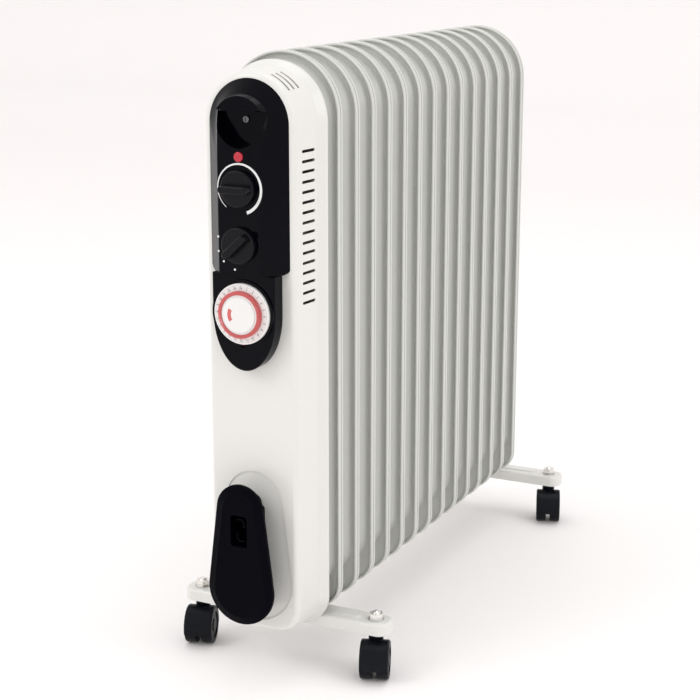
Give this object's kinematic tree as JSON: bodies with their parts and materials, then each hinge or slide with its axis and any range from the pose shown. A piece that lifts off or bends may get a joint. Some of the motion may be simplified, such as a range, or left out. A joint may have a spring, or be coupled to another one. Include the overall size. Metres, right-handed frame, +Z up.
{
  "type": "oil filled radiator heater",
  "caption": "Free-standing oil filled radiator: pressed steel fins, domed front control housing with timer, cord winder, two feet and swivel casters",
  "frame": {"origin": "on the floor under the middle of the heater", "axes": "+Z up, the control housing faces -Y, the fins stack along +Y, +X is the right-hand side seen from the front"},
  "size_m": [0.2646, 0.6676, 0.655],
  "materials": {
    "fin_enamel": "semi-gloss off-white stove enamel",
    "housing_enamel": "smooth white enamel",
    "foot_enamel": "smooth white enamel",
    "gloss_black": "polished black",
    "satin_black": "satin black",
    "knob_black": "satin black",
    "dial_white": "moulded white",
    "tab_red": "moulded red",
    "lamp_red": "clear red lens",
    "switch_white": "moulded switch body",
    "plated_steel": "zinc plated",
    "sheath_steel": "drawn tube",
    "nickel": "bright nickel plate",
    "brass": "machined",
    "caster_plastic": "satin black",
    "wheel_plastic": "hard nylon"
  },
  "bodies": {
    "heater": {"acorn_nuts": "nickel", "back_plate": "plated_steel", "caster_studs": "plated_steel", "control_panel": "gloss_black", "cord_core": "satin_black", "cord_cover": "satin_black", "cord_gland": "satin_black", "element_flange": "brass", "fin_01": "fin_enamel", "fin_02": "fin_enamel", "fin_03": "fin_enamel", "fin_04": "fin_enamel", "fin_05": "fin_enamel", "fin_06": "fin_enamel", "fin_07": "fin_enamel", "fin_08": "fin_enamel", "fin_09": "fin_enamel", "fin_10": "fin_enamel", "fin_11": "fin_enamel", "fin_12": "fin_enamel", "fin_13": "fin_enamel", "fin_14": "fin_enamel", "foot_nuts": "plated_steel", "front_foot": "foot_enamel", "heating_element": "sheath_steel", "housing": "housing_enamel", "lamp_holder": "switch_white", "lamp_lens": "lamp_red", "oil_headers": "fin_enamel", "pocket_screw": "plated_steel", "rear_foot": "foot_enamel", "selector_switch": "switch_white", "terminal_block": "switch_white", "thermal_cutout": "switch_white", "thermostat_body": "switch_white", "timer_body": "switch_white", "timer_panel": "gloss_black", "u_bolts": "plated_steel", "washers": "plated_steel"},
    "thermostat_knob": {"thermostat_knob": "knob_black"},
    "selector_knob": {"selector_knob": "knob_black"},
    "timer": {"timer_dial": "dial_white", "timer_tabs": "tab_red", "timer_centre": "dial_white"},
    "front_right_swivel": {"front_right_hood": "caster_plastic", "front_right_axle": "plated_steel"},
    "front_right_wheel_a": {"front_right_wheel_a": "wheel_plastic"},
    "front_right_wheel_b": {"front_right_wheel_b": "wheel_plastic"},
    "front_left_swivel": {"front_left_hood": "caster_plastic", "front_left_axle": "plated_steel"},
    "front_left_wheel_a": {"front_left_wheel_a": "wheel_plastic"},
    "front_left_wheel_b": {"front_left_wheel_b": "wheel_plastic"},
    "rear_right_swivel": {"rear_right_hood": "caster_plastic", "rear_right_axle": "plated_steel"},
    "rear_right_wheel_a": {"rear_right_wheel_a": "wheel_plastic"},
    "rear_right_wheel_b": {"rear_right_wheel_b": "wheel_plastic"},
    "rear_left_swivel": {"rear_left_hood": "caster_plastic", "rear_left_axle": "plated_steel"},
    "rear_left_wheel_a": {"rear_left_wheel_a": "wheel_plastic"},
    "rear_left_wheel_b": {"rear_left_wheel_b": "wheel_plastic"}
  },
  "joints": [
    {"name": "thermostat_turn", "type": "hinge", "parent": "heater", "child": "thermostat_knob", "pos_m": [0, -0.3, 0.527], "axis": [0, 1, 0], "range_deg": [-55, 245]},
    {"name": "selector_turn", "type": "hinge", "parent": "heater", "child": "selector_knob", "pos_m": [0, -0.3, 0.471], "axis": [0, 1, 0], "range_deg": [-33, 59]},
    {"name": "timer_turn", "type": "hinge", "parent": "heater", "child": "timer", "pos_m": [0, -0.3, 0.4015], "axis": [0, 1, 0], "continuous": true},
    {"name": "front_right_swivel_turn", "type": "hinge", "parent": "heater", "child": "front_right_swivel", "pos_m": [0.107, -0.22775, 0.043], "axis": [0, 0, 1], "continuous": true},
    {"name": "front_right_wheel_a_roll", "type": "hinge", "parent": "front_right_swivel", "child": "front_right_wheel_a", "pos_m": [0.11076, -0.23809, 0.02], "axis": [0.9397, 0.342, 0], "continuous": true},
    {"name": "front_right_wheel_b_roll", "type": "hinge", "parent": "front_right_swivel", "child": "front_right_wheel_b", "pos_m": [0.11076, -0.23809, 0.02], "axis": [0.9397, 0.342, 0], "continuous": true},
    {"name": "front_left_swivel_turn", "type": "hinge", "parent": "heater", "child": "front_left_swivel", "pos_m": [-0.107, -0.22775, 0.043], "axis": [0, 0, 1], "continuous": true},
    {"name": "front_left_wheel_a_roll", "type": "hinge", "parent": "front_left_swivel", "child": "front_left_wheel_a", "pos_m": [-0.1036, -0.23821, 0.02], "axis": [0.9511, 0.309, 0], "continuous": true},
    {"name": "front_left_wheel_b_roll", "type": "hinge", "parent": "front_left_swivel", "child": "front_left_wheel_b", "pos_m": [-0.1036, -0.23821, 0.02], "axis": [0.9511, 0.309, 0], "continuous": true},
    {"name": "rear_right_swivel_turn", "type": "hinge", "parent": "heater", "child": "rear_right_swivel", "pos_m": [0.107, 0.31825, 0.043], "axis": [0, 0, 1], "continuous": true},
    {"name": "rear_right_wheel_a_roll", "type": "hinge", "parent": "rear_right_swivel", "child": "rear_right_wheel_a", "pos_m": [0.11076, 0.30791, 0.02], "axis": [0.9397, 0.342, 0], "continuous": true},
    {"name": "rear_right_wheel_b_roll", "type": "hinge", "parent": "rear_right_swivel", "child": "rear_right_wheel_b", "pos_m": [0.11076, 0.30791, 0.02], "axis": [0.9397, 0.342, 0], "continuous": true},
    {"name": "rear_left_swivel_turn", "type": "hinge", "parent": "heater", "child": "rear_left_swivel", "pos_m": [-0.107, 0.31825, 0.043], "axis": [0, 0, 1], "continuous": true},
    {"name": "rear_left_wheel_a_roll", "type": "hinge", "parent": "rear_left_swivel", "child": "rear_left_wheel_a", "pos_m": [-0.11076, 0.30791, 0.02], "axis": [0.9397, -0.342, 0], "continuous": true},
    {"name": "rear_left_wheel_b_roll", "type": "hinge", "parent": "rear_left_swivel", "child": "rear_left_wheel_b", "pos_m": [-0.11076, 0.30791, 0.02], "axis": [0.9397, -0.342, 0], "continuous": true}
  ]
}
